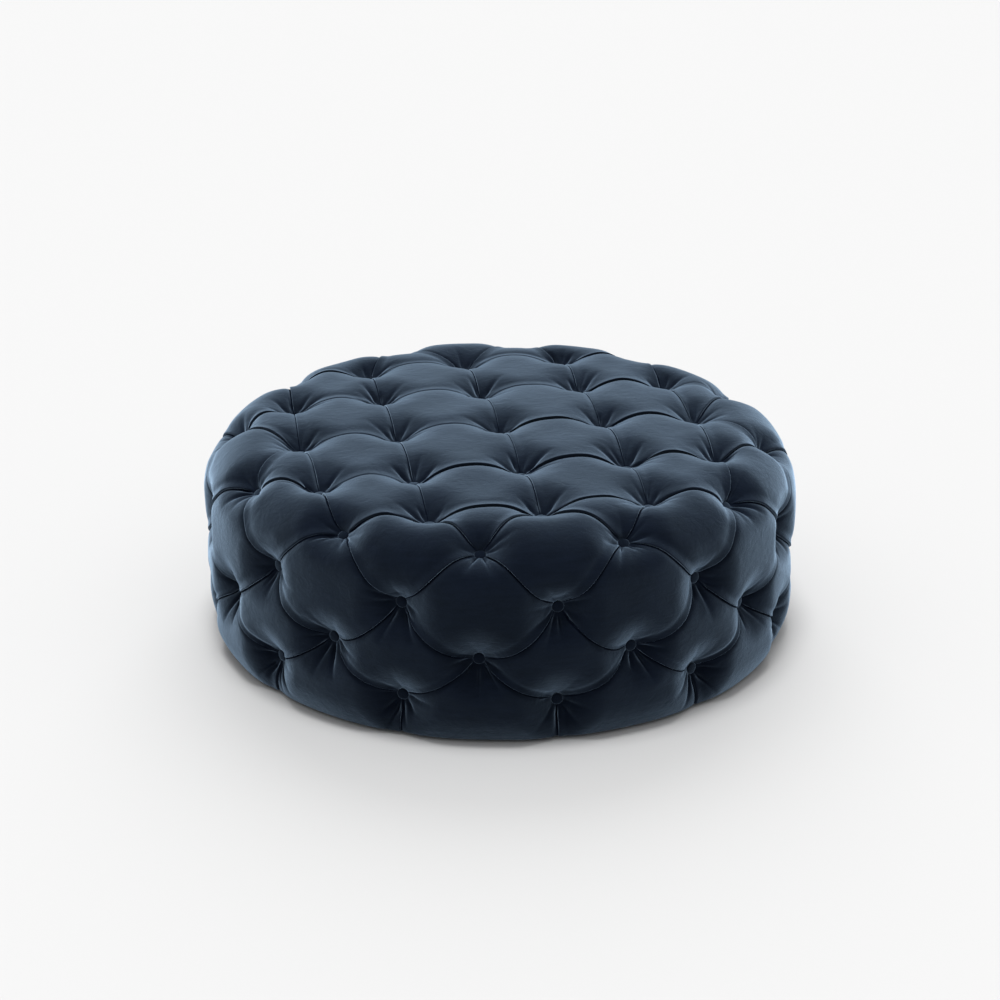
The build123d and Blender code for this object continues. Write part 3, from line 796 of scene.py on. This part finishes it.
cover_velvet = blue_velvet("cover_velvet", sheen=1.0)
cover_count = 65
lining_count = 13
lining_inset = 0.014
lining_foot = 0.0096
hem_reaches = (0.495, 0.48, 0.45, 0.40, hem_inner)
face_tail = [(reach, hem_height) for reach in hem_reaches]
lining_tail = [(reach, lining_foot) for reach in hem_reaches[2:]]
face = quilt(cover_count, inset=0.0, detailed=True, foot=hem_height, tail=face_tail)
lining = quilt(lining_count, inset=lining_inset, detailed=False, foot=lining_foot, tail=lining_tail)
shift = len(face["points"])
cover_points = np.concatenate([face["points"], lining["points"]])
cover_faces = face["faces"] + [[corner + shift for corner in quad] for quad in lining["faces"]]
for face_end, lining_end in zip(face["ends"], lining["ends"]):
    cover_faces += seam_faces(face_end, [corner + shift for corner in lining_end])
cover = closed_shell("tufted_cover", cover_points, cover_faces, face["fold_shade_masks"])
finish_piece(cover, cover_velvet, "velvet", "velvet_cover")
# A second finish on the faces in the folds: the same velvet with almost no sheen, painted shade in the
# folds
cover.data.materials.append(blue_velvet("crushed_velvet", sheen=0.08))

# Fibre wadding: white polyester batting that fills the tufts between foam and velvet.
# It takes the tufts' shape and is open below, where it is trimmed at the base.
white_wadding = flecked(
    "white_wadding", dark=(0.68, 0.68, 0.66), pale=(0.86, 0.86, 0.84), fineness=260.0, relief=0.002
)
wadding_foot = 0.0125
wadding_inset = 0.016
foam_clearance = 0.0015
hollow = foam_swell + foam_clearance
hollow_top = core_height + hollow + slab_middle_rise
wadding_tail = [(core_radius + hollow, wadding_foot)]
wadding_tail += quarter_turn((core_radius, core_height), hollow, start=0, steps=6)
wadding_tail += [(core_radius / 2, hollow_top), (0.0, hollow_top)]
batting = quilt(lining_count, inset=wadding_inset, detailed=False, foot=wadding_foot, tail=wadding_tail)
wadding = closed_shell("wadding_layer", batting["points"], batting["faces"], batting["fold_shade_masks"])
finish_piece(wadding, white_wadding, "wadding", "fibre_wadding")

# Covered buttons: a tin cap with the same velvet pressed over it, gathered behind
# its rim, on a shank that the twine pulls down into the dimple.
button_radius = 0.0105
button_sides = 24
button_edge = 0.0012
dome_steps = ((0.0019, 0.0013), (0.0024, 0.0012), (0.0025, 0.0008), (0.0022, 0.0003))
shank_steps = ((0.86, 0.0025), (0.55, 0.0045), (0.5, 0.0140))


def pick_cap(piece, side):
    """Selects the flat round face on the upper side, 1, or the lower side, -1, in edit mode."""
    shape = bmesh.from_edit_mesh(piece.data)
    for facet in shape.faces:
        facet.select_set(facet.normal.z * side > 0.9 and len(facet.verts) > 4)
    shape.select_flush(True)
    bmesh.update_edit_mesh(piece.data)


def model_button():
    """One button with its rim at height 0, domed above and drawn to its shank below."""
    bpy.ops.object.select_all(action="DESELECT")
    bpy.ops.mesh.primitive_cylinder_add(
        vertices=button_sides, radius=button_radius, depth=button_edge, location=(0, 0, -button_edge / 2)
    )
    button = bpy.context.object
    bpy.ops.object.mode_set(mode="EDIT")
    for inward, rise in dome_steps:
        pick_cap(button, 1)
        bpy.ops.mesh.inset(thickness=inward)
        bpy.ops.transform.translate(value=(0, 0, rise))
    pick_cap(button, -1)
    for scale, drop in shank_steps:
        bpy.ops.mesh.extrude_region_move(TRANSFORM_OT_translate={"value": (0, 0, -drop)})
        bpy.ops.transform.resize(value=(scale, scale, 1))
    bpy.ops.mesh.select_all(action="DESELECT")
    bpy.ops.object.mode_set(mode="OBJECT")
    smoothing = button.modifiers.new("rounding", "SUBSURF")
    smoothing.levels = 1
    smoothing.render_levels = 1
    bpy.ops.object.modifier_apply(modifier=smoothing.name)
    return button


button_velvet = blue_velvet("button_velvet", sheen=0.9)
first_button = model_button()
side_sink = 0.0360
seat_sink = 0.0325
for group in button_groups:
    sink = seat_sink if group in ("seat", "rim") else side_sink
    copies = []
    for name, spot, way in zip(button_list, button_spots, button_ways):
        if name[0] != group:
            continue
        copy = first_button.copy()
        copy.data = first_button.data.copy()
        bpy.context.scene.collection.objects.link(copy)
        turn = Vector(way).to_track_quat("Z", "Y").to_matrix().to_4x4()
        copy.data.transform(Matrix.Translation(Vector(spot - way * sink)) @ turn)
        copies.append(copy)
    bpy.ops.object.select_all(action="DESELECT")
    for copy in copies:
        copy.select_set(True)
    bpy.context.view_layer.objects.active = copies[0]
    bpy.ops.object.join()
    copies[0].name = f"{group}_covered_buttons"
    finish_piece(copies[0], button_velvet, "velvet", f"{group}_buttons")
bpy.data.objects.remove(first_button)

# Dust cover: thin black cambric stapled over the opening of the base and lapped on the hem.
# It hangs a little slack between its staples.
cambric = flecked(
    "black_cambric", dark=(0.012, 0.012, 0.013), pale=(0.03, 0.03, 0.032), fineness=1500.0, relief=0.0002
)
dust_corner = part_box("dust_cover")[1]
dust_radius = dust_corner.x
dust_sides = 96
dust_rings = 8
dust_thickness = 0.0004
slack_reach, slack_drop = 0.36, 0.0016
pucker_reach, pucker_run, pucker_rise, pucker_fineness = 0.37, 0.05, 0.0006, 9
bpy.ops.object.select_all(action="DESELECT")
bpy.ops.mesh.primitive_circle_add(
    vertices=dust_sides,
    radius=dust_radius,
    fill_type="NGON",
    location=(0, 0, dust_corner.z - dust_thickness),
)
dust_cover = bpy.context.object
dust_cover.name = "cambric_dust_cover"
bpy.ops.object.mode_set(mode="EDIT")
bpy.ops.mesh.select_all(action="SELECT")
for ring in range(dust_rings):
    bpy.ops.mesh.inset(thickness=dust_radius / (dust_rings + 1))
bpy.ops.mesh.poke()
bpy.ops.object.mode_set(mode="OBJECT")
bpy.ops.object.transform_apply(location=True, rotation=False, scale=False)
for vertex in dust_cover.data.vertices:
    reach = math.hypot(vertex.co.x, vertex.co.y)
    slack = max(0.0, 1 - (reach / slack_reach) ** 2) * slack_drop
    inside = min(1.0, max(0.0, (pucker_reach - reach) / pucker_run))
    pucker = noise.noise(vertex.co * pucker_fineness) * pucker_rise * inside
    vertex.co.z += pucker - slack
cloth = dust_cover.modifiers.new("cloth_thickness", "SOLIDIFY")
cloth.thickness = dust_thickness
cloth.offset = 0
select_only(dust_cover)
bpy.ops.object.modifier_apply(modifier=cloth.name)
finish_piece(dust_cover, cambric, "cambric", "dust_cover")

# Glides: black moulded nylon feet, one under each post, faintly flecked all over.
nylon = flecked(
    "black_nylon",
    dark=(0.018, 0.018, 0.019),
    pale=(0.04, 0.04, 0.042),
    fineness=380.0,
    relief=0.00008,
    roughness=0.45,
)
dress(nylon, *[f"glide_{step + 1}" for step in range(post_count)])

# Studio: a plain pale floor that keeps the pouf's shadow, soft light from above and from
# behind in a room that is paler overhead, and the camera at the photograph's place.
bpy.ops.object.select_all(action="DESELECT")
floor_reach = 40
floor_grey = 0.61
bpy.ops.mesh.primitive_circle_add(vertices=64, radius=floor_reach, fill_type="NGON")
floor = bpy.context.object
floor.name = "studio_floor"
floor_finish, floor_shader = new_finish("pale_floor", (floor_grey, floor_grey, floor_grey), roughness=0.9)
floor_shader.inputs["Specular IOR Level"].default_value = 0.0
floor.data.materials.append(floor_finish)

world = bpy.data.worlds.new("pale_room")
world.use_nodes = True
bpy.context.scene.world = world
room_tree = world.node_tree
room = room_tree.nodes["Background"]
room.inputs["Color"].default_value = (1, 1, 1, 1)
room_way = room_tree.nodes.new("ShaderNodeTexCoord")
room_height = room_tree.nodes.new("ShaderNodeSeparateXYZ")
room_level = place_node(room_tree, "ShaderNodeMapRange", To_Min=0.05, To_Max=1.0)
room_tree.links.new(room_way.outputs["Generated"], room_height.inputs["Vector"])
room_tree.links.new(room_height.outputs["Z"], room_level.inputs["Value"])
room_strength = room_level.outputs["Result"]
room_path = room_tree.nodes.new("ShaderNodeLightPath")
for ray in ("Is Camera Ray", "Is Glossy Ray", "Is Transmission Ray"):
    seen = room_tree.nodes.new("ShaderNodeMath")
    seen.operation = "MAXIMUM"
    room_tree.links.new(room_strength, seen.inputs[0])
    room_tree.links.new(room_path.outputs[ray], seen.inputs[1])
    room_strength = seen.outputs["Value"]
room_tree.links.new(room_strength, room.inputs["Strength"])


def sun_lamp(name, energy, spread, turns):
    """A soft sun, with its spread and its turns about the three axes in degrees."""
    light = bpy.data.lights.new(name, "SUN")
    light.energy = energy
    light.angle = math.radians(spread)
    lamp = bpy.data.objects.new(name, light)
    lamp.rotation_euler = [math.radians(turn) for turn in turns]
    bpy.context.scene.collection.objects.link(lamp)


sun_lamp("overhead_light", energy=1.8, spread=20, turns=(3, -3, 0))
sun_lamp("back_light", energy=1.6, spread=50, turns=(-55, 0, -12))

camera_data = bpy.data.cameras.new("photo_camera")
camera_data.sensor_width = 36
camera_data.lens = 90.42
camera = bpy.data.objects.new("photo_camera", camera_data)
camera.location = (-0.8146, -4.1881, 2.0315)
camera.rotation_euler = (math.radians(90) - 0.3999, 0, -0.1921)
bpy.context.scene.collection.objects.link(camera)
bpy.context.scene.camera = camera
bpy.context.scene.view_settings.view_transform = "Standard"
